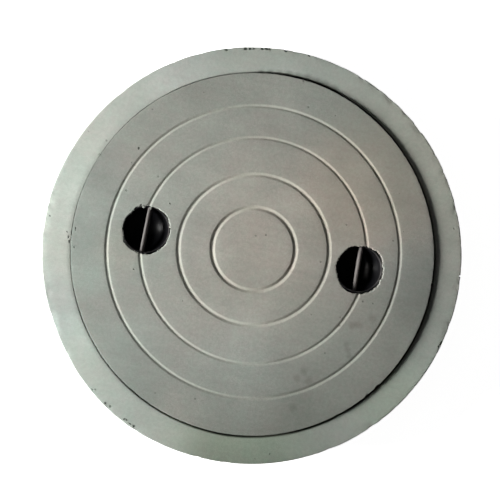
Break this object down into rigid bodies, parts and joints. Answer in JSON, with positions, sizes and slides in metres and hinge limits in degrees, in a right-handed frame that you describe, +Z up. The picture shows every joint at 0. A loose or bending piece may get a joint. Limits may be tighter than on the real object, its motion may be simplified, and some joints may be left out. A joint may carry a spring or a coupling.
{
  "type": "concrete manhole cover and frame",
  "caption": "Round precast concrete cover with pressed anti-slip rings and black lifting pockets crossed by steel bars, lying loose in a concrete frame ring.",
  "frame": {"origin": "centre of the frame ring's underside, on the axis of the shaft opening", "axes": "+Z up, out of the shaft; the lifting pockets lie on the X axis, and their bars run along Y"},
  "size_m": [0.696, 0.696, 0.103],
  "materials": {
    "frame_concrete": "pale grey cast concrete, slightly green, chipped edges",
    "cover_concrete": "warm grey trowelled concrete",
    "cup_plastic": "glossy black moulded plastic",
    "bar_steel": "dull dark mild steel rod with cement bloom"
  },
  "bodies": {
    "root": {"frame_ring": "frame_concrete", "cover_slab": "cover_concrete", "left_lifting_cup": "cup_plastic", "right_lifting_cup": "cup_plastic", "left_lifting_bar": "bar_steel", "right_lifting_bar": "bar_steel"}
  },
  "joints": []
}
